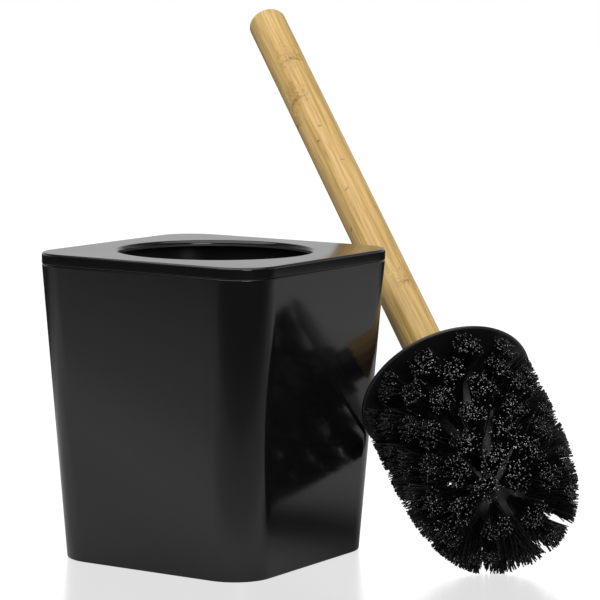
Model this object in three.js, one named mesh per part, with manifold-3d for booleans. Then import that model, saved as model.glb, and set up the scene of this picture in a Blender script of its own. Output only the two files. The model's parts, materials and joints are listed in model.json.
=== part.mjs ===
// Toilet brush set: a square tapered tub with a lift-off lid, and a bamboo-handled brush
// that stands beside it with its bristles on the floor. Millimetres, +Z up. The origin is
// the centre of the tub's underside, and the tub's front faces -Y.
import * as THREE from 'three';
import { mergeVertices } from 'three/addons/utils/BufferGeometryUtils.js';
import Module from 'manifold-3d';

const wasm = await Module();
wasm.setup();

// Driving dimensions. Angles end in _DEG.

// Tub
const HOLDER_WIDTH = 120;      // across the flats, at the seam under the lid
const TUB_HEIGHT = 131.6;
const DRAFT_DEG = 3.38;        // how much each wall leans in towards the base
const CORNER_RADIUS = 18.2;
const WALL = 2.5;
const TUB_FLOOR = 3;
const TUB_EDGE = 0.6;          // rounding of the base edge and the rim

// Lid
const LID_HEIGHT = 4.95;
const LID_PLATE = 2.6;
const LID_EDGE = 2.2;          // rounding of the upper edge
const HOLE_EDGE = 1;           // rounding of the hole's upper edge
const SKIRT_WALL = 1.8;
const SKIRT_DEPTH = 6;         // how far the skirt reaches into the tub
const SKIRT_CLEARANCE = 0.4;
const HEAD_CLEARANCE = 3.2;    // between the splash disc and the lid's hole

// Brush head
const DISC_RADIUS = 39.9;
const DISC_THICKNESS = 1.8;
const DISC_EDGE = 0.5;
const HUB_WALL = 4;            // raised ring round the disc's bore
const HUB_HEIGHT = 4;
const CORE_RADIUS = 15.5;
const CORE_STRAIGHT = 58;      // from the disc to the centre of the domed end
const NECK_RADIUS = 8.2;
const NECK_HEIGHT = 12;        // above the disc's underside, where the handle seats
const SOCKET_DEPTH = 17;

// Bristles
const BRISTLE_RADIUS = 40.1;   // trimmed outline, from the brush axis
const BRISTLE_REACH = 92;      // trimmed outline, from the disc to the end
const BRISTLE_SHOULDER = 4.5;  // where the outline starts to close in
const BRISTLE_SQUARENESS = 3.7;
const FIRST_ROW = 9.5;         // from the disc to the first row of cut ends
const ROW_PITCH = 12;
const ROW_COUNT = 7;
const TUFTS_PER_ROW = 12;
const JOINED_ROWS = 6;         // rows nearest the disc, one piece each
const ROW_PHASE_DEG = 22;
const DOME_TUFTS = 5;
const DOME_ROW_RADIUS = 15.5;
const DOME_PHASE_DEG = -4;
const TUFT_ROOT_RADIUS = 2;
const TUFT_SPACING = 1;        // clear between the two nearest tufts' ends
const TUFT_CROWN = 0.9;
const ROOT_BAND_WIDTH = 3;
const ROOT_BAND_HEIGHT = 1;

// Handle and the stud that joins it to the head
const HANDLE_RADIUS = 9.5;
const HANDLE_LENGTH = 260.4;
const HANDLE_END_ROUNDING = 1.8;
const HANDLE_FOOT_CHAMFER = 0.6;
const STUD_RADIUS = 4;
const STUD_CHAMFER = 0.8;
const STUD_IN_HANDLE = 25;
const STUD_IN_HEAD = 15.6;

// Where the brush stands
const BRUSH_TILT_DEG = 54;        // of the handle, from upright
const BRUSH_HEADING_DEG = 145.2;  // of the handle, seen from above, from +X
const RIM_GAP = 0.35;             // between the splash disc's rim and the tub's +X wall
const DISC_BEFORE_BACK = 2.3;     // from the disc's centre back to the line of the lid's +Y side

// Shared fits and fineness
const GAP = 0.3;               // between pieces that touch inside the tilted brush
const FINE_SIDES = 60;
const ROUND_SIDES = 36;
const CORE_SIDES = 24;
const TUFT_SIDES = 8;
const CORNER_STEPS = 4;

const AXIS = new THREE.Vector3(0, 0, 1);
const radians = THREE.MathUtils.degToRad;

// Colours and finishes

function finish(color, roughness, metalness = 0) {
  return () => new THREE.MeshStandardMaterial({ color, roughness, metalness });
}

const blackGloss = finish(0x141416, 0.3);
const blackSatin = finish(0x1b1b1d, 0.5);
const bristleBlack = finish(0x0d0d0e, 0.6);
const bamboo = finish(0xd2a766, 0.55);
const zincPlate = finish(0xb4b6b8, 0.35, 1);

// Solids: a closed geometry becomes a solid, and a solid becomes a geometry again

function toSolid(geometry) {
  const bare = new THREE.BufferGeometry();
  bare.setAttribute('position', geometry.getAttribute('position'));
  bare.setIndex(geometry.getIndex());
  const merged = mergeVertices(bare);
  const corners = merged.getIndex().array;
  const kept = [];
  for (let i = 0; i < corners.length; i += 3) {
    const [a, b, c] = corners.slice(i, i + 3);
    if (a !== b && b !== c && c !== a) kept.push(a, b, c);
  }
  return new wasm.Manifold(new wasm.Mesh({
    numProp: 3,
    vertProperties: new Float32Array(merged.getAttribute('position').array),
    triVerts: new Uint32Array(kept),
  }));
}

function toGeometry(solid) {
  const { vertProperties, triVerts } = solid.getMesh();
  const geometry = new THREE.BufferGeometry();
  geometry.setAttribute('position', new THREE.BufferAttribute(vertProperties, 3));
  geometry.setIndex(new THREE.BufferAttribute(triVerts, 1));
  geometry.computeVertexNormals();
  return geometry;
}

function piece(name, solid, material) {
  const mesh = new THREE.Mesh(toGeometry(solid), material());
  mesh.name = name;
  return mesh;
}

// A closed profile of [radius, height] points, anticlockwise, turned about Z
function revolved(profile, sides) {
  const points = profile.map(([radius, height]) => new THREE.Vector2(radius, height));
  return new THREE.LatheGeometry(points, sides).rotateX(Math.PI / 2);
}

// Points of an arc in a profile
function arc(centreRadius, centreHeight, radius, fromDeg, toDeg, steps) {
  return Array.from({ length: steps + 1 }, (_, i) => {
    const angle = radians(fromDeg + (toDeg - fromDeg) * i / steps);
    return [centreRadius + radius * Math.cos(angle), centreHeight + radius * Math.sin(angle)];
  });
}

// Holder

function roundedSquare(half, radius) {
  const centre = half - radius;
  const outline = new THREE.Shape();
  outline.absarc(centre, centre, radius, 0, Math.PI / 2);
  outline.absarc(-centre, centre, radius, Math.PI / 2, Math.PI);
  outline.absarc(-centre, -centre, radius, Math.PI, Math.PI * 1.5);
  outline.absarc(centre, -centre, radius, Math.PI * 1.5, Math.PI * 2);
  return outline;
}

// A square block with round corners and both of its flat ends' edges rounded by edge
function squareBlock(half, radius, low, high, edge = 0) {
  return new THREE.ExtrudeGeometry(roundedSquare(half, radius), {
    depth: high - low - 2 * edge,
    curveSegments: CORNER_STEPS,
    bevelEnabled: edge > 0,
    bevelThickness: edge,
    bevelSize: edge,
    bevelOffset: -edge,
    bevelSegments: 2,
  }).translate(0, 0, low + edge);
}

// Half the tub's outer width at a height
function tubHalf(height) {
  return HOLDER_WIDTH / 2 - (TUB_HEIGHT - height) * Math.tan(radians(DRAFT_DEG));
}

// A block that follows the tub's draft, inset from its outer face. Every point is on a
// corner arc, so moving each arc inwards whole keeps its radius all the way down.
function taperedBlock(inset, low, high, edge = 0) {
  const half = tubHalf(high) - inset;
  const block = squareBlock(half, CORNER_RADIUS - inset, low, high, edge);
  const position = block.getAttribute('position');
  for (let i = 0; i < position.count; i += 1) {
    const shift = tubHalf(high) - tubHalf(position.getZ(i));
    position.setX(i, position.getX(i) - Math.sign(position.getX(i)) * shift);
    position.setY(i, position.getY(i) - Math.sign(position.getY(i)) * shift);
  }
  return block;
}

function tubSolid() {
  const outside = toSolid(taperedBlock(0, 0, TUB_HEIGHT, TUB_EDGE));
  const cavity = toSolid(taperedBlock(WALL, TUB_FLOOR, TUB_HEIGHT + WALL));
  return outside.subtract(cavity);
}

function lidSolid() {
  const half = HOLDER_WIDTH / 2;
  const top = TUB_HEIGHT + LID_HEIGHT;
  const underPlate = top - LID_PLATE;
  const skirtLow = TUB_HEIGHT - SKIRT_DEPTH;
  const skirtInset = WALL + SKIRT_CLEARANCE;

  const cap = toSolid(squareBlock(half, CORNER_RADIUS, TUB_HEIGHT - LID_EDGE, top, LID_EDGE));
  const aboveSeam = toSolid(squareBlock(half + WALL, CORNER_RADIUS, TUB_HEIGHT, top + WALL));
  const recess = toSolid(squareBlock(half - WALL, CORNER_RADIUS - WALL, skirtLow, underPlate));
  const skirtOutside = toSolid(taperedBlock(skirtInset, skirtLow, underPlate + LID_PLATE / 2));
  const skirtInside = toSolid(taperedBlock(skirtInset + SKIRT_WALL, skirtLow - 1, underPlate));

  const holeRadius = DISC_RADIUS + HEAD_CLEARANCE;
  const hole = toSolid(revolved([
    [0, skirtLow],
    [holeRadius, skirtLow],
    ...arc(holeRadius + HOLE_EDGE, top - HOLE_EDGE, HOLE_EDGE, 180, 90, 3),
    [holeRadius + HOLE_EDGE, top + 1],
    [0, top + 1],
  ], FINE_SIDES));

  const shell = cap.intersect(aboveSeam).subtract(recess);
  return shell.add(skirtOutside.subtract(skirtInside)).subtract(hole);
}

// Brush, about its own axis: +Z runs up the handle, and z = 0 is the disc's underside

function discSolid() {
  const bore = NECK_RADIUS + GAP;
  const hub = bore + HUB_WALL;
  const rim = DISC_RADIUS - DISC_EDGE;
  return toSolid(revolved([
    [bore, 0],
    [rim, 0],
    [DISC_RADIUS, DISC_EDGE],
    [DISC_RADIUS, DISC_THICKNESS - DISC_EDGE],
    [rim, DISC_THICKNESS],
    [hub, DISC_THICKNESS],
    [hub, DISC_THICKNESS + HUB_HEIGHT],
    [bore, DISC_THICKNESS + HUB_HEIGHT],
    [bore, 0],
  ], FINE_SIDES));
}

function coreSolid() {
  const socket = STUD_RADIUS + GAP;
  return toSolid(revolved([
    ...arc(0, -CORE_STRAIGHT, CORE_RADIUS, -90, 0, 8),
    [CORE_RADIUS, -GAP],
    [NECK_RADIUS, -GAP],
    [NECK_RADIUS, NECK_HEIGHT],
    [socket, NECK_HEIGHT],
    [socket, NECK_HEIGHT - SOCKET_DEPTH],
    [0, NECK_HEIGHT - SOCKET_DEPTH],
  ], CORE_SIDES));
}

// Radius of the trimmed outline at a depth below the disc, and the other way round
function outlineRadius(depth) {
  const share = Math.max(0, depth - BRISTLE_SHOULDER) / (BRISTLE_REACH - BRISTLE_SHOULDER);
  return BRISTLE_RADIUS * (1 - share ** BRISTLE_SQUARENESS) ** (1 / BRISTLE_SQUARENESS);
}

function outlineDepth(radius) {
  const share = (1 - (radius / BRISTLE_RADIUS) ** BRISTLE_SQUARENESS) ** (1 / BRISTLE_SQUARENESS);
  return BRISTLE_SHOULDER + (BRISTLE_REACH - BRISTLE_SHOULDER) * share;
}

// The line a tuft grows along, in the half-plane of x = radius and y = height
function tuftLine(radius, depth) {
  const centre = new THREE.Vector2(0, -Math.min(depth, CORE_STRAIGHT));
  const tip = new THREE.Vector2(radius, -depth);
  const direction = tip.clone().sub(centre).normalize();
  const root = centre.clone().addScaledVector(direction, CORE_RADIUS + GAP);
  return { direction, root, length: tip.distanceTo(root) };
}

function tuftTurns(count, phaseDeg) {
  return Array.from({ length: count }, (_, i) => phaseDeg + i * 360 / count);
}

// Where every tuft stands: its line, its turn about the axis and its piece's name
function tuftPlaces() {
  const places = [];
  for (let row = 0; row < ROW_COUNT; row += 1) {
    const depth = FIRST_ROW + row * ROW_PITCH;
    const line = tuftLine(outlineRadius(depth), depth);
    const phase = ROW_PHASE_DEG + (row % 2) * 180 / TUFTS_PER_ROW;
    tuftTurns(TUFTS_PER_ROW, phase).forEach((turn, i) => {
      const joined = row < JOINED_ROWS;
      const name = joined ? `bristle_row_${row + 1}` : `shoulder_tuft_${i + 1}`;
      places.push({ line, turn, joined, name });
    });
  }
  const domeLine = tuftLine(DOME_ROW_RADIUS, outlineDepth(DOME_ROW_RADIUS));
  tuftTurns(DOME_TUFTS, DOME_PHASE_DEG).forEach((turn, i) => {
    places.push({ line: domeLine, turn, joined: false, name: `dome_tuft_${i + 1}` });
  });
  return places;
}

// Every tuft flares as far as the two nearest tufts' ends leave room for
function tuftTipRadius(places) {
  const tips = places.map(({ line, turn }) => {
    const tip = line.root.clone().addScaledVector(line.direction, line.length);
    return new THREE.Vector3(tip.x, 0, tip.y).applyAxisAngle(AXIS, radians(turn));
  });
  const distances = tips.flatMap((tip, i) => tips.slice(i + 1).map((other) => tip.distanceTo(other)));
  return (Math.min(...distances) - TUFT_SPACING) / 2;
}

// A flaring tuft with a crowned end, standing on the core at a turn about the axis
function tuftSolid({ direction, root, length }, turnDeg, tipRadius) {
  return toSolid(revolved([
    [0, 0],
    [TUFT_ROOT_RADIUS, 0],
    [tipRadius, length - TUFT_CROWN],
    [0, length],
  ], TUFT_SIDES)
    .rotateY(Math.atan2(direction.x, direction.y))
    .translate(root.x, 0, root.y)
    .rotateZ(radians(turnDeg)));
}

// The thin band that joins a whole row of tufts at their roots
function rootBand({ direction, root }) {
  const along = direction.clone().multiplyScalar(ROOT_BAND_HEIGHT);
  const across = new THREE.Vector2(-direction.y, direction.x).multiplyScalar(ROOT_BAND_WIDTH / 2);
  const low = root.clone().sub(across);
  const high = root.clone().add(across);
  const loop = [low, low.clone().add(along), high.clone().add(along), high, low];
  return toSolid(revolved(loop.map((point) => point.toArray()), CORE_SIDES));
}

function bristlePieces() {
  const places = tuftPlaces();
  const tipRadius = tuftTipRadius(places);
  const solids = new Map();
  places.forEach(({ line, turn, joined, name }) => {
    const start = solids.get(name) ?? (joined ? rootBand(line) : null);
    const tuft = tuftSolid(line, turn, tipRadius);
    solids.set(name, start ? start.add(tuft) : tuft);
  });
  return [...solids].map(([name, solid]) => piece(name, solid, bristleBlack));
}

function handleSolid() {
  const foot = NECK_HEIGHT + GAP;
  const end = foot + HANDLE_LENGTH;
  const bore = STUD_RADIUS + GAP;
  const boreEnd = foot + STUD_IN_HANDLE + GAP;
  const rounding = HANDLE_END_ROUNDING;
  return toSolid(revolved([
    [0, boreEnd],
    [bore, boreEnd],
    [bore, foot],
    [HANDLE_RADIUS - HANDLE_FOOT_CHAMFER, foot],
    [HANDLE_RADIUS, foot + HANDLE_FOOT_CHAMFER],
    ...arc(HANDLE_RADIUS - rounding, end - rounding, rounding, 0, 90, 4),
    [0, end],
  ], ROUND_SIDES));
}

function studSolid() {
  const low = NECK_HEIGHT - STUD_IN_HEAD;
  const high = NECK_HEIGHT + GAP + STUD_IN_HANDLE;
  return toSolid(revolved([
    [0, low],
    [STUD_RADIUS - STUD_CHAMFER, low],
    [STUD_RADIUS, low + STUD_CHAMFER],
    [STUD_RADIUS, high - STUD_CHAMFER],
    [STUD_RADIUS - STUD_CHAMFER, high],
    [0, high],
  ], CORE_SIDES));
}

function brush() {
  const tilted = new THREE.Group();
  tilted.add(
    piece('bamboo_handle', handleSolid(), bamboo),
    piece('handle_stud', studSolid(), zincPlate),
    piece('splash_disc', discSolid(), blackSatin),
    piece('brush_core', coreSolid(), blackSatin),
    ...bristlePieces(),
  );
  tilted.rotation.x = -radians(BRUSH_TILT_DEG);

  const turned = new THREE.Group();
  turned.add(tilted);
  turned.rotation.z = radians(BRUSH_HEADING_DEG - 90);
  turned.updateMatrixWorld(true);

  // The lowest cut ends rest on the floor
  turned.position.z = -new THREE.Box3().setFromObject(turned, true).min.z;

  // The upper edge of the disc's rim comes nearest to the tub, where it reaches furthest
  // towards -X
  const axis = AXIS.clone().transformDirection(tilted.matrixWorld);
  const nearest = new THREE.Vector3(-1, 0, 0).projectOnPlane(axis).setLength(DISC_RADIUS)
    .addScaledVector(axis, DISC_THICKNESS - DISC_EDGE);
  turned.position.x = tubHalf(turned.position.z + nearest.z) - nearest.x + RIM_GAP;
  turned.position.y = HOLDER_WIDTH / 2 - DISC_BEFORE_BACK;
  return turned;
}

const group = new THREE.Group();
group.add(
  piece('holder_tub', tubSolid(), blackGloss),
  piece('holder_lid', lidSolid(), blackGloss),
  brush(),
);

export default group;
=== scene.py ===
"""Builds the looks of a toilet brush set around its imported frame: a black tub with a lift-off lid,
and a bamboo-handled brush that stands beside it. Metres, +Z up."""

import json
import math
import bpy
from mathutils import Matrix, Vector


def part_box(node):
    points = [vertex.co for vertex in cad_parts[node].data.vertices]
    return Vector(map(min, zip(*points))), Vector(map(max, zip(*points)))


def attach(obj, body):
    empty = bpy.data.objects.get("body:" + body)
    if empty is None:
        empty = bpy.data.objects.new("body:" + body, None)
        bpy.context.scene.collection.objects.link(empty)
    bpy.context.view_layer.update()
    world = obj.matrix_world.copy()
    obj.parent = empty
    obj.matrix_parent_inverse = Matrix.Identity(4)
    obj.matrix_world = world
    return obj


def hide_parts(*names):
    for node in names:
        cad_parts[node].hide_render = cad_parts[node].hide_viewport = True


bl_info = {
    "name": "Toilet Brush Set",
    "version": (1, 0, 0),
    "blender": (4, 5, 0),
    "location": "View3D > Sidebar > Brush Set",
    "description": "Builds a black tub with a lid and a bamboo-handled toilet brush",
    "category": "Add Mesh",
}

import bpy
import numpy as np
from mathutils import Matrix, Vector

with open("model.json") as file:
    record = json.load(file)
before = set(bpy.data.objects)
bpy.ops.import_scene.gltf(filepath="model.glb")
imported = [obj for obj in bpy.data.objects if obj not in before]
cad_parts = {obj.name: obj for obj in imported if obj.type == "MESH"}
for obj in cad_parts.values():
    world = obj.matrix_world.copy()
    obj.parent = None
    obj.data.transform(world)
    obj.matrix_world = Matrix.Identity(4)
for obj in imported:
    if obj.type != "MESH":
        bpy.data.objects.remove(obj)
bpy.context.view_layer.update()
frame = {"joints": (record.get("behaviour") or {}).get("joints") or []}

MM = 0.001
TUB_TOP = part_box("holder_tub")[1].z
LID_LOW, LID_HIGH = (corner.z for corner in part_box("holder_lid"))
LID_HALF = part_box("holder_lid")[1].x
HANDLE_JOINT = next(joint for joint in frame["joints"] if joint["name"] == "handle_turn")


# ---- Sizes and colours that a user would change ----

def length(name, description, millimetres):
    return bpy.props.FloatProperty(
        name=name, description=description, default=millimetres * MM, unit="LENGTH", precision=4)


def share(name, description, default):
    return bpy.props.FloatProperty(
        name=name, description=description, default=default, min=0.0, max=1.0, subtype="FACTOR")


def colour(name, description, default):
    return bpy.props.FloatVectorProperty(
        name=name, description=description, default=default, size=3, min=0.0, max=1.0,
        subtype="COLOR")


def whole(name, description, default):
    return bpy.props.IntProperty(name=name, description=description, default=default, min=1)


class HolderSettings(bpy.types.PropertyGroup):
    """The tub and its lid."""
    corner: length("Corner radius", "Outer radius of the upright corners", 18.2)
    draft: bpy.props.FloatProperty(
        name="Draft", description="How much each wall leans in towards the base",
        default=math.radians(3.38), subtype="ANGLE")
    wall: length("Wall", "Thickness of the tub's walls", 2.5)
    floor: length("Floor", "Thickness of the tub's floor", 3.0)
    base_edge: length("Base edge", "Rounding of the base's outer edge", 0.7)
    rim_edge: length("Rim edge", "Rounding of the tub's rim", 0.8)
    seam_edge: length("Seam edge", "Rounding of the lid's lower edge", 0.35)
    plate: length("Lid plate", "Thickness of the lid's flat top", 2.6)
    lid_edge: length("Lid edge", "Rounding of the lid's upper edge", 1.1)
    hole_radius: length("Hole radius", "Radius of the hole that the brush goes through", 43.1)
    hole_edge: length("Hole edge", "Rounding of the hole's upper edge", 1.7)
    skirt_gap: length("Skirt gap", "Clearance between the lid's skirt and the tub", 0.4)
    skirt_wall: length("Skirt wall", "Thickness of the lid's skirt", 1.8)
    plastic: colour("Plastic", "Colour of the tub and lid", (0.0065, 0.0065, 0.0068))
    # Painted light: the inside colour is paler than the plastic, to lift the shaded inside of the
    # tub and the lid; the inside is also matt
    inside: colour("Inside", "Colour of the matt inside faces", (0.028, 0.028, 0.029))
    gloss_low: share("Smoothest", "Roughness where the moulding is smoothest", 0.09)
    gloss_high: share("Roughest", "Roughness where the moulding is most worn", 0.15)


class HeadSettings(bpy.types.PropertyGroup):
    """The splash disc, the core and the bristles."""
    disc_radius: length("Disc radius", "Outer radius of the splash disc", 39.9)
    disc_thickness: length("Disc thickness", "Thickness of the splash disc", 1.8)
    disc_bore: length("Disc bore", "Radius of the hole round the core's neck", 8.5)
    hub_wall: length("Hub wall", "Width of the raised ring round the disc's bore", 4.0)
    hub_height: length("Hub height", "Height of that ring over the disc", 4.0)
    core_radius: length("Core radius", "Radius of the body that holds the bristles", 15.5)
    core_straight: length("Core length", "From the disc to the centre of the domed end", 58.0)
    neck_radius: length("Neck radius", "Radius of the neck through the disc", 8.2)
    neck_height: length("Neck height", "Top of the neck over the disc's underside", 12.0)
    socket_radius: length("Socket radius", "Radius of the threaded socket in the neck", 4.3)
    socket_depth: length("Socket depth", "Depth of that socket", 17.0)
    plastic: colour("Head plastic", "Colour of the disc and core", (0.016, 0.016, 0.017))
    bristle_radius: length("Bristle radius", "Trimmed outline, from the brush axis", 40.1)
    bristle_reach: length("Bristle reach", "Trimmed outline, from the disc to the end", 92.0)
    bristle_shoulder: length("Shoulder", "Where the outline starts to close in", 4.5)
    squareness: bpy.props.FloatProperty(
        name="Squareness", description="How square the outline's end is", default=3.7)
    first_row: length("First row", "From the disc to the first row of cut ends", 9.5)
    row_pitch: length("Row pitch", "From one row of cut ends to the next", 12.0)
    rows: whole("Rows", "Rows of tufts round the head", 7)
    row_tufts: whole("Tufts in a row", "Tufts in each of those rows", 12)
    joined_rows: whole("Joined rows", "Rows whose tufts are one piece", 6)
    row_phase: bpy.props.FloatProperty(
        name="Row phase", description="Turn of the first row", default=math.radians(22),
        subtype="ANGLE")
    dome_tufts: whole("Dome tufts", "Tufts round the bare tip", 5)
    dome_radius: length("Dome row radius", "Distance of their cut ends from the axis", 15.5)
    dome_phase: bpy.props.FloatProperty(
        name="Dome phase", description="Turn of the dome's row", default=math.radians(-4),
        subtype="ANGLE")
    filaments: whole("Filaments", "Filaments in a tuft", 92)
    filament_radius: length("Filament radius", "Radius of one filament", 0.26)
    root_spread: length("Root spread", "Radius of a tuft at its root", 1.8)
    tip_spread: length("Tip spread", "Radius of a tuft at its cut ends", 8.6)
    bristle: colour("Bristle", "Colour of the darker filaments", (0.004, 0.004, 0.0042))
    worn: colour("Worn bristle", "Colour of the paler filaments", (0.016, 0.016, 0.0165))
    # Painted highlight: the cut ends are given greys far paler than the black filaments, standing in
    # for their glints
    dim_cut_glint: colour("Dull cut ends", "Colour of the darkest cut ends", (0.05, 0.05, 0.052))
    cut_glint: colour("Cut ends", "Colour of most cut ends", (0.15, 0.15, 0.155))
    bright_cut_glint: colour("Bright cut ends", "Colour of the palest cut ends", (0.42, 0.42, 0.43))


class HandleSettings(bpy.types.PropertyGroup):
    """The bamboo handle and its stud."""
    radius: length("Handle radius", "Radius of the turned rod", 9.5)
    length: length("Handle length", "Length of the rod", 260.4)
    seat_gap: length("Seat gap", "Between the head's neck and the rod's foot", 0.3)
    end_rounding: length("End rounding", "Rounding of the rod's upper end", 2.2)
    foot_rounding: length("Foot rounding", "Rounding of the rod's lower end", 0.6)
    bore_radius: length("Bore radius", "Radius of the blind bore for the stud", 4.3)
    bore_depth: length("Bore depth", "Depth of that bore", 25.3)
    stud_radius: length("Stud radius", "Radius over the stud's thread", 4.0)
    stud_low: length("Stud's foot", "From the disc's underside to the stud's foot", -3.6)
    stud_high: length("Stud's top", "From the disc's underside to the stud's top", 37.3)
    thread_pitch: length("Thread pitch", "Rise of the thread in a turn", 3.0)
    light: colour("Light fibre", "Colour of the palest bamboo", (0.74, 0.50, 0.19))
    dark: colour("Dark fibre", "Colour of the darkest bamboo", (0.49, 0.30, 0.082))
    mark: colour("Node mark", "Colour of the marks at the bamboo's nodes", (0.23, 0.105, 0.022))


class StageSettings(bpy.types.PropertyGroup):
    """The floor, the lights and the camera."""
    floor: colour("Floor", "Colour of the floor", (1.0, 1.0, 1.0))
    eye: bpy.props.FloatVectorProperty(
        name="Eye", description="Where the camera stands", default=(0.7214, -1.0504, 0.2655),
        subtype="XYZ", unit="LENGTH")
    turn: bpy.props.FloatProperty(
        name="Turn", description="The way the camera faces, from +Y towards -X",
        default=math.radians(32.78), subtype="ANGLE")
    dip: bpy.props.FloatProperty(
        name="Dip", description="How far the camera looks down", default=math.radians(6.77),
        subtype="ANGLE")
    roll: bpy.props.FloatProperty(
        name="Roll", description="How far the camera leans over", default=math.radians(0.40),
        subtype="ANGLE")
    lens: bpy.props.FloatProperty(
        name="Lens", description="Focal length on a 36 mm sensor", default=172.75)


class BrushSetSettings(bpy.types.PropertyGroup):
    """Everything that a user would change."""
    holder: bpy.props.PointerProperty(type=HolderSettings)
    head: bpy.props.PointerProperty(type=HeadSettings)
    handle: bpy.props.PointerProperty(type=HandleSettings)
    stage: bpy.props.PointerProperty(type=StageSettings)


# ---- Shader maths ----

class Wire:
    """A shader socket. Arithmetic on it adds the Math nodes that it needs."""

    def __init__(self, shading, socket):
        self.shading = shading
        self.socket = socket

    def maths(self, operation, *values):
        return self.shading.node(
            "ShaderNodeMath", {"operation": operation}, dict(enumerate(values)))

    def __add__(self, other):
        return self.maths("ADD", self, other)

    def __sub__(self, other):
        return self.maths("SUBTRACT", self, other)

    def __rsub__(self, other):
        return self.maths("SUBTRACT", other, self)

    def __mul__(self, other):
        return self.maths("MULTIPLY", self, other)

    def __truediv__(self, other):
        return self.maths("DIVIDE", self, other)

    def __pow__(self, other):
        return self.maths("POWER", self, other)

    __radd__ = __add__
    __rmul__ = __mul__


class Shading:
    """The nodes of a material or of the world."""

    def __init__(self, tree):
        self.tree = tree

    def feed(self, socket, value):
        if isinstance(value, Wire):
            self.tree.links.new(value.socket, socket)
        elif socket.type == "RGBA":
            socket.default_value = (*value, 1.0)
        else:
            socket.default_value = value

    def node(self, kind, settings=None, inputs=None, output=0):
        node = self.tree.nodes.new(kind)
        for name, value in (settings or {}).items():
            if name == "stops":
                self.set_stops(node.color_ramp, value)
            else:
                setattr(node, name, value)
        for name, value in (inputs or {}).items():
            self.feed(node.inputs[name], value)
        return Wire(self, node.outputs[output])

    @staticmethod
    def set_stops(ramp, stops):
        """Gives a ramp its (position, grey value) stops, lowest first."""
        while len(ramp.elements) < len(stops):
            ramp.elements.new(1.0)
        for element, (position, value) in zip(ramp.elements, stops):
            element.position = position
            element.color = (value, value, value, 1.0)

    def place(self):
        return self.node("ShaderNodeTexCoord", output="Object")

    def along(self, place, direction):
        """How far a place lies in a direction."""
        return self.node("ShaderNodeVectorMath", {"operation": "DOT_PRODUCT"}, {
            0: place, 1: direction}, output="Value")

    def apart(self, place):
        """The x, y and z of a place."""
        first = self.node("ShaderNodeSeparateXYZ", None, {0: place})
        return [Wire(self, output) for output in first.socket.node.outputs]

    def noise(self, place, scale, stretch=(1, 1, 1), detail=2.0, distortion=0.0, offset=(0, 0, 0)):
        stretched = self.node("ShaderNodeMapping", None, {
            "Vector": place, "Location": offset, "Scale": stretch})
        return self.node("ShaderNodeTexNoise", None, {
            "Vector": stretched, "Scale": scale, "Detail": detail, "Distortion": distortion})

    def mix(self, factor, first, second):
        return self.node("ShaderNodeMix", {"data_type": "RGBA"}, {
            0: factor, 6: first, 7: second}, output=2)

    def ramp(self, value, *stops):
        return self.node("ShaderNodeValToRGB", {"stops": stops}, {0: value})

    def bump(self, height, strength, distance):
        return self.node("ShaderNodeBump", None, {
            "Height": height, "Strength": strength, "Distance": distance})


class Finish(Shading):
    """A material round one Principled shader."""

    def __init__(self, name, **values):
        self.material = bpy.data.materials.new(name)
        self.material.use_nodes = True
        super().__init__(self.material.node_tree)
        self.shader = self.tree.nodes["Principled BSDF"]
        self.set(**values)

    def set(self, **values):
        for name, value in values.items():
            self.feed(self.shader.inputs[name.replace("_", " ")], value)


# Noise scales of the plastics, in waves to the metre, and how strong their orange peel is
CLOUD_SCALE = 26.0
MARK_SCALE = 90.0
PEEL_SCALE = 420.0
PEEL_STRENGTH = 0.06


def moulded_plastic(name, tint, smoothest, roughest, peel_depth):
    """Injection-moulded plastic: uneven gloss, a faint orange peel and fine handling marks."""
    finish = Finish(name, Base_Color=tint)
    place = finish.place()
    clouds = finish.noise(place, CLOUD_SCALE, detail=3.0)
    marks = finish.noise(place, MARK_SCALE, stretch=(1, 1, 9), detail=4.0)
    wear = finish.ramp(clouds * 0.7 + marks * 0.3, (0.3, 0.0), (0.7, 1.0))
    peel = finish.noise(place, PEEL_SCALE, detail=1.0)
    finish.set(
        Roughness=smoothest + wear * (roughest - smoothest),
        Normal=finish.bump(peel, PEEL_STRENGTH, peel_depth))
    return finish.material


# ---- Meshes ----

# Points on each round corner and each flat side of a square loop
CORNER_STEPS = 14
FLAT_STEPS = 10
SQUARE_SIDES = 4 * (CORNER_STEPS + FLAT_STEPS)
# A circle's first point, for its points to face those of a square loop
SQUARE_START = math.pi / 4 - math.tau * (CORNER_STEPS / 2) / SQUARE_SIDES


def square_loop(half, radius, height):
    """Points round a square with round corners, from the start of the +X +Y corner."""
    points = []
    for quarter in range(4):
        turn = Matrix.Rotation(quarter * math.pi / 2, 3, "Z")
        for step in range(CORNER_STEPS):
            angle = math.pi / 2 * step / CORNER_STEPS
            x = half - radius + radius * math.cos(angle)
            y = half - radius + radius * math.sin(angle)
            points.append(turn @ Vector((x, y, height)))
        for step in range(FLAT_STEPS):
            x = (half - radius) * (1 - 2 * step / FLAT_STEPS)
            points.append(turn @ Vector((x, half, height)))
    return points


def round_loop(radius, height, sides, first=0.0):
    """Points round a circle, from the first angle on."""
    angles = (first + math.tau * step / sides for step in range(sides))
    return [Vector((radius * math.cos(a), radius * math.sin(a), height)) for a in angles]


def arc(centre, radius, start, end, steps):
    """Points (across, up) round a centre from one angle to another, in degrees."""
    angles = (math.radians(start + (end - start) * step / steps) for step in range(steps + 1))
    return [(centre[0] + radius * math.cos(a), centre[1] + radius * math.sin(a)) for a in angles]


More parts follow.
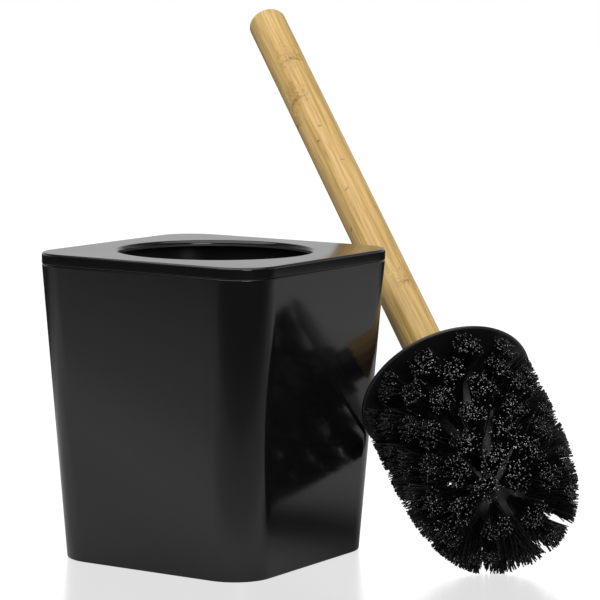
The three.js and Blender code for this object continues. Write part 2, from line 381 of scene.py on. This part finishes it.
def skinned(name, loops, closed=False, inner=()):
    """A mesh through loops of equal length. Its ends are capped, or joined to each other.
    The faces that start at an inner loop take the second material."""
    count = len(loops[0])
    verts = [tuple(point) for loop in loops for point in loop]
    faces, starts = [], []
    rings = len(loops)
    for ring in range(rings if closed else rings - 1):
        low, high = ring * count, (ring + 1) % rings * count
        for step in range(count):
            after = (step + 1) % count
            faces.append((low + step, low + after, high + after, high + step))
            starts.append(ring)
    if not closed:
        starts += [None, rings - 1]
        faces.append(tuple(reversed(range(count))))
        faces.append(tuple(range((rings - 1) * count, rings * count)))
    mesh = bpy.data.meshes.new(name)
    mesh.from_pydata(verts, [], faces)
    mesh.polygons.foreach_set("material_index", [int(start in inner) for start in starts])
    mesh.validate()
    return mesh


def turned(name, profile, sides, closed=False):
    """A mesh of a profile of (radius, height) points, turned about Z."""
    return skinned(name, [round_loop(r, z, sides) for r, z in profile], closed)


def make_piece(name, mesh, materials, body, nodes, place=Matrix.Identity(4)):
    """Puts a mesh in the scene as a piece that replaces CAD nodes and rides on a body."""
    for material in materials:
        mesh.materials.append(material)
    mesh.transform(place)
    mesh.shade_smooth()
    piece = bpy.data.objects.new(name, mesh)
    bpy.context.scene.collection.objects.link(piece)
    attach(piece, body)
    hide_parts(*nodes)
    return piece


def crisp(piece, angle=40):
    """Keeps flat faces flat where they meet small rounded edges."""
    piece.data.set_sharp_from_angle(angle=math.radians(angle))
    weighted = piece.modifiers.new("flat faces", "WEIGHTED_NORMAL")
    weighted.keep_sharp = True
    weighted.weight = 100
    return piece


def brush_place():
    """The brush's own frame: +Z up the handle, from the centre of the disc's underside."""
    axis = Vector(HANDLE_JOINT["axis"]).normalized()
    level = axis.cross(Vector((0, 0, 1))).normalized()
    turn = Matrix((level, axis.cross(level), axis)).transposed()
    return Matrix.Translation(Vector(HANDLE_JOINT["pos_m"])) @ turn.to_4x4()


def place_on_brush(shading):
    """The place of a point in the brush's own frame."""
    where = brush_place()
    return shading.node("ShaderNodeMapping", {"vector_type": "TEXTURE"}, {
        "Vector": shading.place(), "Location": where.to_translation(),
        "Rotation": where.to_euler()})


# ---- Holder ----

def tub_half(holder, height):
    """Half the tub's outer width at a height."""
    return LID_HALF - (TUB_TOP - height) * math.tan(holder.draft)


TUB_FILLET = 3 * MM


def tub_mesh(holder):
    """The tub: up the outside, over the rim, down the inside and across the floor."""
    def loop(inset, height):
        return square_loop(tub_half(holder, height) - inset, holder.corner - inset, height)

    base, rim, wall, floor = holder.base_edge, holder.rim_edge, holder.wall, holder.floor
    outside = [
        *arc((base, base), base, 270, 180, 5),
        *arc((rim, TUB_TOP - rim), rim, 180, 90, 4),
        *arc((wall - rim, TUB_TOP - rim), rim, 90, 0, 4),
    ]
    inside = arc((wall + TUB_FILLET, floor + TUB_FILLET), TUB_FILLET, 180, 270, 5)
    loops = [loop(*point) for point in outside + inside]
    # The inner faces take the paler inside material, painted light in the shaded tub
    return skinned("tub_shell", loops, inner=range(len(outside) - 1, len(loops)))


def lid_mesh(holder):
    """The lid: down and round the skirt, up the outside, over the top and down the hole."""
    edge, seam, hole_edge = holder.lid_edge, holder.seam_edge, holder.hole_edge
    under_plate = LID_HIGH - holder.plate
    skirt = holder.wall + holder.skirt_gap

    def straight(inset, height):
        return square_loop(LID_HALF - inset, holder.corner - inset, height)

    def drafted(inset, height):
        return square_loop(tub_half(holder, height) - inset, holder.corner - inset, height)

    def hole(radius, height):
        return round_loop(radius, height, SQUARE_SIDES, SQUARE_START)

    inside = skirt + holder.skirt_wall
    skirt_loops = [
        drafted(inside, under_plate),
        drafted(inside, LID_LOW),
        drafted(skirt, LID_LOW),
        drafted(skirt, TUB_TOP),
    ]
    loops = [*skirt_loops, straight(skirt, TUB_TOP)]
    loops += [straight(*point) for point in arc((seam, TUB_TOP + seam), seam, 270, 180, 3)]
    loops += [straight(*point) for point in arc((edge, LID_HIGH - edge), edge, 180, 90, 6)]
    mouth = (holder.hole_radius + hole_edge, LID_HIGH - hole_edge)
    loops += [hole(*point) for point in arc(mouth, hole_edge, 90, 180, 4)]
    loops.append(hole(holder.hole_radius, under_plate))
    bore = len(loops) - 2
    # The bore and the skirt take the paler inside material, painted light in the shaded hollow
    inner = (bore, bore + 1, *range(len(skirt_loops)))
    return skinned("lid_shell", loops, closed=True, inner=inner)


def holder_plastics(name, holder):
    """The glossy outside and the matt inside of a moulding. The inside is painted paler than the
    outside, as painted light in its shaded hollow.
    """
    outside = moulded_plastic(
        f"{name}_plastic", holder.plastic, holder.gloss_low, holder.gloss_high,
        peel_depth=0.03 * MM)
    inside = moulded_plastic(
        f"{name}_inside", holder.inside, smoothest=0.5, roughest=0.6, peel_depth=0.05 * MM)
    return [outside, inside]


class BRUSHSET_OT_tub(bpy.types.Operator):
    """Builds the tub"""
    bl_idname = "brushset.tub"
    bl_label = "Tub"

    def execute(self, context):
        holder = context.scene.brush_set.holder
        crisp(make_piece(
            "tub_shell", tub_mesh(holder), holder_plastics("tub", holder), "holder",
            ["holder_tub"]))
        return {"FINISHED"}


class BRUSHSET_OT_lid(bpy.types.Operator):
    """Builds the lid with its round hole and its skirt"""
    bl_idname = "brushset.lid"
    bl_label = "Lid"

    def execute(self, context):
        holder = context.scene.brush_set.holder
        crisp(make_piece(
            "lid_shell", lid_mesh(holder), holder_plastics("lid", holder), "lid",
            ["holder_lid"]))
        return {"FINISHED"}


# ---- Brush head ----

DISC_SIDES = 128
HUB_EDGE = 0.6 * MM
HUB_FILLET = 1.2 * MM
CORE_SIDES = 64
# From the disc's underside down to the top of the core's body
CORE_SHOULDER = 0.3 * MM
NECK_BEVEL = 0.5 * MM
# Where the dome's profile starts, in degrees, a little off the axis
DOME_START = -89.5


class BRUSHSET_OT_disc(bpy.types.Operator):
    """Builds the splash disc"""
    bl_idname = "brushset.disc"
    bl_label = "Splash disc"

    def execute(self, context):
        head = context.scene.brush_set.head
        thick, edge = head.disc_thickness, head.disc_thickness / 2
        hub = head.disc_bore + head.hub_wall
        hub_top = thick + head.hub_height
        profile = [
            (head.disc_bore, 0.0),
            *arc((head.disc_radius - edge, edge), edge, -90, 90, 8),
            *arc((hub + HUB_FILLET, thick + HUB_FILLET), HUB_FILLET, 270, 180, 4),
            *arc((hub - HUB_EDGE, hub_top - HUB_EDGE), HUB_EDGE, 0, 90, 4),
            (head.disc_bore, hub_top),
        ]
        mesh = turned("splash_plate", profile, DISC_SIDES, closed=True)
        black = moulded_plastic(
            "disc_plastic", head.plastic, smoothest=0.3, roughest=0.42, peel_depth=0.02 * MM)
        crisp(make_piece(
            "splash_plate", mesh, [black], "brush_head", ["splash_disc"],
            brush_place()))
        return {"FINISHED"}


class BRUSHSET_OT_core(bpy.types.Operator):
    """Builds the domed core that holds the bristles, with its threaded neck"""
    bl_idname = "brushset.core"
    bl_label = "Core"

    def execute(self, context):
        head = context.scene.brush_set.head
        profile = [
            *arc((0, -head.core_straight), head.core_radius, DOME_START, 0, 24),
            (head.core_radius, -CORE_SHOULDER),
            (head.neck_radius, -CORE_SHOULDER),
            (head.neck_radius, head.neck_height - NECK_BEVEL),
            (head.neck_radius - NECK_BEVEL, head.neck_height),
            (head.socket_radius, head.neck_height),
            (head.socket_radius, head.neck_height - head.socket_depth),
        ]
        black = moulded_plastic(
            "core_plastic", head.plastic, smoothest=0.32, roughest=0.42, peel_depth=0.02 * MM)
        crisp(make_piece(
            "core_body", turned("core_body", profile, CORE_SIDES), [black], "brush_head",
            ["brush_core"], brush_place()))
        return {"FINISHED"}


def outline_radius(head, depth):
    """Radius of the trimmed outline at a depth below the disc."""
    span = head.bristle_reach - head.bristle_shoulder
    along = np.clip((np.asarray(depth) - head.bristle_shoulder) / span, 0, 1)
    return head.bristle_radius * (1 - along ** head.squareness) ** (1 / head.squareness)


def outline_depth(head, radius):
    """Depth at which the trimmed outline has a radius."""
    along = (1 - (radius / head.bristle_radius) ** head.squareness) ** (1 / head.squareness)
    return head.bristle_shoulder + (head.bristle_reach - head.bristle_shoulder) * along


def tuft_places(head):
    """The node, the cut ends' radius and depth, and the turn of every tuft."""
    for row in range(head.rows):
        depth = head.first_row + row * head.row_pitch
        phase = head.row_phase + (row % 2) * math.pi / head.row_tufts
        for place in range(head.row_tufts):
            joined = row < head.joined_rows
            node = f"bristle_row_{row + 1}" if joined else f"shoulder_tuft_{place + 1}"
            turn = phase + place * math.tau / head.row_tufts
            yield node, float(outline_radius(head, depth)), depth, turn
    depth = outline_depth(head, head.dome_radius)
    for place in range(head.dome_tufts):
        turn = head.dome_phase + place * math.tau / head.dome_tufts
        yield f"dome_tuft_{place + 1}", head.dome_radius, depth, turn


BRISTLE_SEED = 11
# Points along a filament and round it
LINE_POINTS = 5
FILAMENT_SIDES = 5
# The longest that a line may be, from its start in shares of the way to its aim, and the
# halvings that find where it is trimmed
LONGEST = 2.0
HALVINGS = 24
# The shares of dark and worn filaments, and of dull, plain and bright cut ends, whose greys are
# painted glints
SIDE_SHARES = (0.75, 0.25)
CUT_GLINT_SHARES = (0.45, 0.38, 0.17)
# How deep the filaments' roots are sunk in the core
ROOT_SUNK = 0.6 * MM
# How a tuft's roots and cut ends crowd at its middle, from 0.5 for an even spread
ROOT_CROWDING = 0.5
TIP_CROWDING = 0.62
# How much a filament's cut end lies on the same side of its tuft as its root
TIP_FOLLOWS_ROOT = 0.18
# How far a tuft leans, a filament bows and a tuft fans out
LEAN = 0.8 * MM
BOW = 0.6 * MM
FAN = 0.10
# How uneven the cut ends are, as shares of a filament, and how rare the short ones are
UNEVEN = 0.019
SHORTEST = 0.08
SHORT_RARITY = 7


def spread(rng, count, radius, crowding):
    """Random places in a circle. Crowding over 0.5 gathers them at its middle."""
    distance = radius * rng.random(count) ** crowding
    angle = rng.random(count) * math.tau
    return np.stack([distance * np.cos(angle), distance * np.sin(angle)], axis=1)


def trimmed(head, start, aim):
    """How far along each line from start through aim the trimmed outline or the floor lies."""
    upright = brush_place()
    floor_way, floor_height = np.array(upright[2][:3]), upright[2][3]
    low, high = np.zeros(len(start)), np.full(len(start), LONGEST)
    for _ in range(HALVINGS):
        middle = (low + high) / 2
        point = start + (aim - start) * middle[:, None]
        depth = -point[:, 2]
        room = outline_radius(head, depth) - head.filament_radius
        inside = np.hypot(point[:, 0], point[:, 1]) < room
        inside &= depth < head.bristle_reach - head.filament_radius
        inside &= point @ floor_way + floor_height > head.filament_radius
        low, high = np.where(inside, middle, low), np.where(inside, high, middle)
    return low


def tuft_lines(head, rng, radius, depth, turn):
    """Centre lines of a tuft's filaments, as an array of filament, point and place."""
    centre = np.array([0, 0, -min(depth, head.core_straight)])
    tip = np.array([radius * math.cos(turn), radius * math.sin(turn), -depth])
    along = (tip - centre) / np.linalg.norm(tip - centre)
    across = np.array([-math.sin(turn), math.cos(turn), 0.0])
    beside = np.cross(along, across)
    sides = np.stack([across, beside])

    count = head.filaments
    root_offset = spread(rng, count, head.root_spread, ROOT_CROWDING)
    splay = spread(rng, count, head.tip_spread, TIP_CROWDING)
    above_root = root_offset * (head.tip_spread / head.root_spread)
    tip_offset = splay * (1 - TIP_FOLLOWS_ROOT) + above_root * TIP_FOLLOWS_ROOT
    lean = rng.normal(0, LEAN, 2)
    start = centre + along * (head.core_radius - ROOT_SUNK) + root_offset @ sides
    aim = tip + (tip_offset + lean) @ sides
    reach = trimmed(head, start, aim)
    uneven = 1 - np.abs(rng.normal(0, UNEVEN, count))
    uneven -= SHORTEST * rng.random(count) ** SHORT_RARITY
    end = start + (aim - start) * (reach * uneven)[:, None]

    steps = np.linspace(0, 1, LINE_POINTS)[None, :, None]
    bow = (rng.normal(0, BOW, (count, 2)) @ sides)[:, None, :]
    fan = ((root_offset - tip_offset) * FAN @ sides)[:, None, :]
    straight = start[:, None, :] * (1 - steps) + end[:, None, :] * steps
    return straight + (bow + fan) * (4 * steps * (1 - steps))


# A direction that no filament runs along
OFF_EVERY_TUFT = [0.3, 0.2, 0.93]


def filament_mesh(name, lines, radius, rng):
    """Round filaments along centre lines. Materials 0 and 1 are sides, and 2 to 4 cut ends in paler
    greys that are painted glints.
    """
    count = len(lines)
    along = lines[:, -1] - lines[:, 0]
    along /= np.linalg.norm(along, axis=1, keepdims=True)
    level = np.cross(along, OFF_EVERY_TUFT)
    level /= np.linalg.norm(level, axis=1, keepdims=True)
    upright = np.cross(along, level)
    angles = np.arange(FILAMENT_SIDES) * math.tau / FILAMENT_SIDES
    ring = radius * (level[:, None, :] * np.cos(angles)[None, :, None]
                     + upright[:, None, :] * np.sin(angles)[None, :, None])
    verts = (lines[:, :, None, :] + ring[:, None, :, :]).reshape(-1, 3)

    first = (np.arange(count) * LINE_POINTS * FILAMENT_SIDES)[:, None, None]
    step = (np.arange(LINE_POINTS - 1) * FILAMENT_SIDES)[None, :, None]
    side = np.arange(FILAMENT_SIDES)[None, None, :]
    after = (side + 1) % FILAMENT_SIDES
    corner = first + step
    quads = np.stack([corner + side, corner + after, corner + after + FILAMENT_SIDES,
                      corner + side + FILAMENT_SIDES], axis=-1).reshape(-1, 4)
    last = first[:, 0] + (LINE_POINTS - 1) * FILAMENT_SIDES
    ends = last + np.arange(FILAMENT_SIDES)[None, :]
    roots = first[:, 0] + np.arange(FILAMENT_SIDES)[None, ::-1]

    mesh = bpy.data.meshes.new(name)
    mesh.from_pydata(verts.tolist(), [], quads.tolist() + ends.tolist() + roots.tolist())
    side_tone = rng.choice(2, count, p=SIDE_SHARES)
    # Each filament's cut end takes one of the painted glint greys
    cut_glint_tone = 2 + rng.choice(3, count, p=CUT_GLINT_SHARES)
    around = FILAMENT_SIDES * (LINE_POINTS - 1)
    mesh.polygons.foreach_set("material_index", np.concatenate(
        [np.repeat(side_tone, around), cut_glint_tone, side_tone]).astype(np.int32))
    return mesh


class BRUSHSET_OT_bristles(bpy.types.Operator):
    """Builds every filament of the bristle tufts"""
    bl_idname = "brushset.bristles"
    bl_label = "Bristles"

    def execute(self, context):
        head = context.scene.brush_set.head
        # The cut ends' greys are painted glints
        finishes = [Finish(name, Base_Color=tint, Roughness=roughness).material
                    for name, tint, roughness in [
                        ("bristle_nylon", head.bristle, 0.4),
                        ("bristle_worn", head.worn, 0.5),
                        ("cut_glint_dim", head.dim_cut_glint, 0.5),
                        ("cut_glint", head.cut_glint, 0.45),
                        ("cut_glint_bright", head.bright_cut_glint, 0.45)]]
        rng = np.random.default_rng(BRISTLE_SEED)
        tufts = {}
        for node, radius, depth, turn in tuft_places(head):
            tufts.setdefault(node, []).append(tuft_lines(head, rng, radius, depth, turn))
        place = brush_place()
        for node, lines in tufts.items():
            name = node.replace("bristle_row", "row_filaments").replace("tuft", "filaments")
            mesh = filament_mesh(name, np.concatenate(lines), head.filament_radius, rng)
            piece = make_piece(name, mesh, finishes, "brush_head", [node], place)
            piece.data.set_sharp_from_angle(angle=math.radians(75))
        return {"FINISHED"}


# ---- Handle ----

# Marks on the bamboo: height over the disc in millimetres, and turn in degrees
NODE_MARKS = [(231, -102), (203, -144), (65, -78), (148, 38), (243, 74), (96, 128), (190, 160)]
SPECKS = [(179, -115), (170, -139), (152, -99), (133, -124), (118, -60), (84, -118), (210, -20),
          (160, 100), (75, 30), (222, 130), (110, -170)]
# Half the width and half the height of a node's line, of the stain over it, and of a speck
LINE_SIZE = (7 * MM, 1.5 * MM)
STAIN_SIZE = (9 * MM, 11 * MM)
SPECK_SIZE = (1.3 * MM, 0.8 * MM)
# How high the stain's middle lies over the line, in millimetres, and how much the line bows
STAIN_RISE = 3
LINE_BOW = 1.3
# How far the swirls at a node shift a mark up, turn it, and push the fibres aside
SWIRL_RISE = 5.0 * MM
SWIRL_TURN = 0.25
SWIRL_PUSH = 14.0 * MM
# Noise scales of the bamboo, in waves to the metre
SWIRL_SCALE = 420.0
FIBRE_SCALE = 1000.0
STREAK_SCALE = 330.0
DRIFT_SCALE = 50.0
PORE_SCALE = 2100.0
BREAK_SCALE = 1300.0


def bamboo_mark(angle, height, radius, mark, size, bow=0.0):
    """How close a place is to a bowed mark, from 0 outside it to 1 at its middle."""
    at, turn = mark
    half_width, half_height = size
    turned_from = angle.maths("WRAP", angle - math.radians(turn), math.pi, -math.pi)
    across = turned_from * (radius / half_width)
    along = (height - at * MM) / half_height + across * across * bow
    near = 1 - (across * across + along * along) ** 0.5
    return near.maths("MAXIMUM", near, 0.0)


def bamboo(handle):
    """Turned bamboo: long pale and dark fibres that swirl at the nodes, brown marks, specks."""
    finish = Finish("bamboo", Specular_IOR_Level=0.4)
    place = place_on_brush(finish)
    radius = handle.radius
    x, y, height = finish.apart(place)
    swirl = finish.noise(place, SWIRL_SCALE, stretch=(1, 1, 0.8), detail=2.0) - 0.5
    swirled = height + swirl * SWIRL_RISE
    angle = x.maths("ARCTAN2", y, x) + swirl * SWIRL_TURN

    stains, lines, specks = 0.0, 0.0, 0.0
    for at, turn in NODE_MARKS:
        stain = (at + STAIN_RISE, turn)
        stains = bamboo_mark(angle, height, radius, stain, STAIN_SIZE) + stains
        lines = bamboo_mark(angle, swirled, radius, (at, turn), LINE_SIZE, LINE_BOW) + lines
    for speck in SPECKS:
        specks = bamboo_mark(angle, swirled, radius, speck, SPECK_SIZE) + specks

    push = finish.node("ShaderNodeVectorMath", {"operation": "SCALE"}, {
        0: (1.0, 0.7, 0.0), "Scale": stains * swirl * SWIRL_PUSH})
    bent = finish.node("ShaderNodeVectorMath", {"operation": "ADD"}, {0: place, 1: push})
    fibres = finish.noise(bent, FIBRE_SCALE, stretch=(1, 1, 0.03), detail=3.0)
    streaks = finish.noise(bent, STREAK_SCALE, stretch=(1, 1, 0.02), detail=3.0, offset=(3, 1, 0))
    drift = finish.noise(place, DRIFT_SCALE, stretch=(1, 1, 0.25), detail=2.0)
    tone = finish.ramp(fibres * 0.45 + streaks * 0.4 + drift * 0.15, (0.41, 0.0), (0.58, 1.0))
    pores = finish.ramp(finish.noise(bent, PORE_SCALE, stretch=(1, 1, 0.04), detail=1.0),
                        (0.58, 0.0), (0.70, 1.0))
    broken = finish.ramp(finish.noise(place, BREAK_SCALE, detail=2.0), (0.42, 0.1), (0.56, 1.0))
    brown = finish.ramp(
        pores * 0.24 + stains * 0.2 + lines * broken * 1.3 + specks * 1.4, (0.0, 0.0), (1.0, 0.9))
    finish.set(
        Base_Color=finish.mix(brown, finish.mix(tone, handle.dark, handle.light), handle.mark),
        Roughness=0.5 - tone * 0.1,
        Normal=finish.bump(fibres - brown, 0.2, 0.05 * MM))
    return finish.material


HANDLE_SIDES = 96
# Lengths that the rod's side is cut in, for shading that stays even
SHAFT_STEPS = 24


class BRUSHSET_OT_handle(bpy.types.Operator):
    """Builds the turned bamboo handle"""
    bl_idname = "brushset.handle"
    bl_label = "Handle"

    def execute(self, context):
        settings = context.scene.brush_set
        handle = settings.handle
        foot = settings.head.neck_height + handle.seat_gap
        end = foot + handle.length
        rounding, lower = handle.end_rounding, handle.foot_rounding
        bore_end = foot + handle.bore_depth
        straight = handle.length - rounding - lower
        shaft = [(handle.radius, foot + lower + straight * step / SHAFT_STEPS)
                 for step in range(1, SHAFT_STEPS)]
        profile = [
            (handle.bore_radius, bore_end),
            (handle.bore_radius, foot),
            *arc((handle.radius - lower, foot + lower), lower, -90, 0, 3),
            *shaft,
            *arc((handle.radius - rounding, end - rounding), rounding, 0, 90, 8),
        ]
        crisp(make_piece(
            "bamboo_rod", turned("bamboo_rod", profile, HANDLE_SIDES), [bamboo(handle)], "handle",
            ["bamboo_handle"], brush_place()))
        return {"FINISHED"}


STUD_SIDES = 48
STUD_BEVEL = 0.5 * MM
THREAD_DEPTH = 0.7 * MM
# The crest's start and end, as shares of the pitch, and the gap before the next thread
CREST = (0.4, 0.6)
THREAD_GAP = 0.1 * MM


class BRUSHSET_OT_stud(bpy.types.Operator):
    """Builds the threaded stud that joins the handle to the head"""
    bl_idname = "brushset.stud"
    bl_label = "Stud"

    def execute(self, context):
        handle = context.scene.brush_set.handle
        crest, pitch = handle.stud_radius, handle.thread_pitch
        root = crest - THREAD_DEPTH
        profile = [(root - STUD_BEVEL, handle.stud_low)]
        height = handle.stud_low + STUD_BEVEL
        while height + pitch < handle.stud_high:
            profile += [(root, height), (crest, height + CREST[0] * pitch),
                        (crest, height + CREST[1] * pitch), (root, height + pitch - THREAD_GAP)]
            height += pitch
        profile += [(root, handle.stud_high - STUD_BEVEL), (root - STUD_BEVEL, handle.stud_high)]
        zinc = Finish("zinc", Base_Color=(0.62, 0.62, 0.63), Metallic=1.0)
        grain = zinc.noise(zinc.place(), 300.0, detail=3.0)
        zinc.set(Roughness=0.28 + grain * 0.16)
        crisp(make_piece(
            "threaded_stud", turned("threaded_stud", profile, STUD_SIDES), [zinc.material], "stud",
            ["handle_stud"], brush_place()), angle=25)
        return {"FINISHED"}


# ---- Stage ----

# Each soft light: its name, place, width and height, and power in watts
SOFTBOXES = [
    ("overhead", (0.1, -0.3, 1.25), (2.0, 2.0), 25.0),
    ("front", (1.5, -1.2, 0.55), (0.8, 0.4), 7.0),
]
LIGHTS_AIM = (0.03, 0.06, 0.08)
# Half the floor's width, and how far it lies under the set
FLOOR_HALF = 6.0
FLOOR_DROP = 0.02 * MM
# The painted pool of light on the floor that the set's reflections show: its centre, turn and
# proportions, and how bright it is painted at each distance from its centre, darker close to the set
# as a painted shadow
LIGHT_POOL_CENTRE = (0.035, 0.177, 0.0)
LIGHT_POOL_TURN = (0.0, 0.0, math.radians(45))
LIGHT_POOL_SHAPE = (1.0, 0.3, 1.0)
LIGHT_POOL_TONES = [
    (0.36, 0.54), (0.44, 0.68), (0.54, 0.62), (0.66, 0.70), (0.735, 0.64), (0.82, 0.475),
    (0.97, 0.39), (1.125, 0.30), (1.27, 0.15), (1.6, 0.06),
]
# The distance at the end of the painted light pool's ramp
LIGHT_POOL_END = 2.0
FLOOR_GLOW = 2.6
FLOOR_MIRROR = 0.72
MIRROR_ROUGHNESS = 0.22
# The backdrop: which way it stands, how it fades across and upwards, and how bright it is
BACKDROP_WAY = (-0.54, 0.84, 0.0)
BACKDROP_ACROSS = [(0.35, 0.0), (0.75, 1.0)]
BACKDROP_UP = [(0.3, 0.0), (0.45, 1.0), (0.62, 1.0), (0.8, 0.0)]
BACKDROP = 0.55
STUDIO = 0.12
SENSOR_WIDTH = 36.0
FARTHEST = 50.0


class BRUSHSET_OT_stage(bpy.types.Operator):
    """Builds the floor, the soft lights and the camera"""
    bl_idname = "brushset.stage"
    bl_label = "Stage"

    def execute(self, context):
        stage = context.scene.brush_set.stage
        self.floor(stage)
        self.lights()
        self.camera(context.scene, stage)
        return {"FINISHED"}

    def floor(self, stage):
        """A glowing white floor with a soft mirror. In reflections it shows an oval painted pool of
        light, with painted shade close to the set.
        """
        material = bpy.data.materials.new("floor_white")
        material.use_nodes = True
        shading = Shading(material.node_tree)
        on_light_pool = shading.node("ShaderNodeMapping", {"vector_type": "TEXTURE"}, {
            "Vector": shading.place(), "Location": LIGHT_POOL_CENTRE,
            "Rotation": LIGHT_POOL_TURN, "Scale": LIGHT_POOL_SHAPE})
        distance = shading.node("ShaderNodeVectorMath", {"operation": "LENGTH"}, {
            0: on_light_pool}, output="Value")
        # Painted light: in reflections the floor's colour falls off from the set like a pool of
        # light, with painted shade near the base
        light_pool = shading.ramp(
            distance / LIGHT_POOL_END, *((at / LIGHT_POOL_END, white) for at, white in LIGHT_POOL_TONES))
        pool_floor = shading.node("ShaderNodeBsdfDiffuse", None, {"Color": light_pool})
        white = shading.node("ShaderNodeEmission", None, {
            "Color": stage.floor, "Strength": FLOOR_GLOW})
        mirror = shading.node(
            "ShaderNodeBsdfAnisotropic", None, {"Roughness": MIRROR_ROUGHNESS})
        seen = shading.node("ShaderNodeMixShader", None, {0: FLOOR_MIRROR, 1: white, 2: mirror})
        direct = shading.node("ShaderNodeLightPath", output="Is Camera Ray")
        surface = shading.node("ShaderNodeMixShader", None, {0: direct, 1: pool_floor, 2: seen})
        shading.feed(material.node_tree.nodes["Material Output"].inputs["Surface"], surface)

        mesh = bpy.data.meshes.new("floor")
        corners = [(-1, -1), (1, -1), (1, 1), (-1, 1)]
        mesh.from_pydata([(x * FLOOR_HALF, y * FLOOR_HALF, 0) for x, y in corners],
                         [], [(0, 1, 2, 3)])
        mesh.materials.append(material)
        floor = bpy.data.objects.new("floor", mesh)
        bpy.context.scene.collection.objects.link(floor)
        floor.location.z = -FLOOR_DROP

    def lights(self):
        """A white backdrop behind the set, a dim studio in front of it, and soft lights."""
        world = bpy.data.worlds.new("studio")
        bpy.context.scene.world = world
        world.use_nodes = True
        shading = Shading(world.node_tree)
        way = shading.node("ShaderNodeTexCoord", output="Generated")
        behind = shading.ramp(shading.along(way, BACKDROP_WAY) * 0.5 + 0.5, *BACKDROP_ACROSS)
        low = shading.ramp(shading.along(way, (0, 0, 1)) * 0.5 + 0.5, *BACKDROP_UP)
        direct = shading.node("ShaderNodeLightPath", output="Is Camera Ray")
        strength = (behind * low * BACKDROP + STUDIO) * (1 - direct) + direct
        background = world.node_tree.nodes["Background"]
        shading.feed(background.inputs["Color"], (1.0, 1.0, 1.0))
        shading.feed(background.inputs["Strength"], strength)
        for name, place, size, power in SOFTBOXES:
            light = bpy.data.lights.new(name, "AREA")
            light.shape = "RECTANGLE"
            light.size, light.size_y = size
            light.energy = power
            lamp = bpy.data.objects.new(name, light)
            lamp.location = place
            towards = Vector(LIGHTS_AIM) - Vector(place)
            lamp.rotation_euler = towards.to_track_quat("-Z", "Y").to_euler()
            bpy.context.scene.collection.objects.link(lamp)

    def camera(self, scene, stage):
        """The camera, with whites that render white."""
        scene.view_settings.view_transform = "Standard"
        turn, dip, roll = stage.turn, stage.dip, stage.roll
        right = Vector((math.cos(turn), math.sin(turn), 0.0))
        back = Vector((math.sin(turn) * math.cos(dip), -math.cos(turn) * math.cos(dip),
                       math.sin(dip)))
        up = back.cross(right)
        leaned_right = right * math.cos(roll) + up * math.sin(roll)
        leaned_up = up * math.cos(roll) - right * math.sin(roll)
        axes = Matrix((leaned_right, leaned_up, back)).transposed().to_4x4()
        lens = bpy.data.cameras.new("camera")
        lens.lens = stage.lens
        lens.sensor_width = SENSOR_WIDTH
        lens.clip_end = FARTHEST
        camera = bpy.data.objects.new("camera", lens)
        camera.matrix_world = Matrix.Translation(Vector(stage.eye)) @ axes
        scene.collection.objects.link(camera)
        scene.camera = camera


# ---- Panel and registration ----

OPERATORS = [
    BRUSHSET_OT_stage,
    BRUSHSET_OT_tub,
    BRUSHSET_OT_lid,
    BRUSHSET_OT_disc,
    BRUSHSET_OT_core,
    BRUSHSET_OT_bristles,
    BRUSHSET_OT_handle,
    BRUSHSET_OT_stud,
]


class BRUSHSET_PT_panel(bpy.types.Panel):
    """Lists the settings and a button for each piece"""
    bl_label = "Toilet Brush Set"
    bl_idname = "BRUSHSET_PT_panel"
    bl_space_type = "VIEW_3D"
    bl_region_type = "UI"
    bl_category = "Brush Set"

    def draw(self, context):
        for operator in OPERATORS:
            self.layout.operator(operator.bl_idname)
        settings = context.scene.brush_set
        for group in (settings.holder, settings.head, settings.handle, settings.stage):
            box = self.layout.box()
            for name in group.bl_rna.properties.keys():
                if name not in ("rna_type", "name"):
                    box.prop(group, name)


CLASSES = [
    HolderSettings, HeadSettings, HandleSettings, StageSettings, BrushSetSettings,
    *OPERATORS, BRUSHSET_PT_panel,
]


def register():
    for cls in CLASSES:
        bpy.utils.register_class(cls)
    bpy.types.Scene.brush_set = bpy.props.PointerProperty(type=BrushSetSettings)


def unregister():
    del bpy.types.Scene.brush_set
    for cls in reversed(CLASSES):
        bpy.utils.unregister_class(cls)


def main():
    register()
    for operator in OPERATORS:
        group, name = operator.bl_idname.split(".")
        getattr(getattr(bpy.ops, group), name)()


if __name__ == "__main__":
    main()
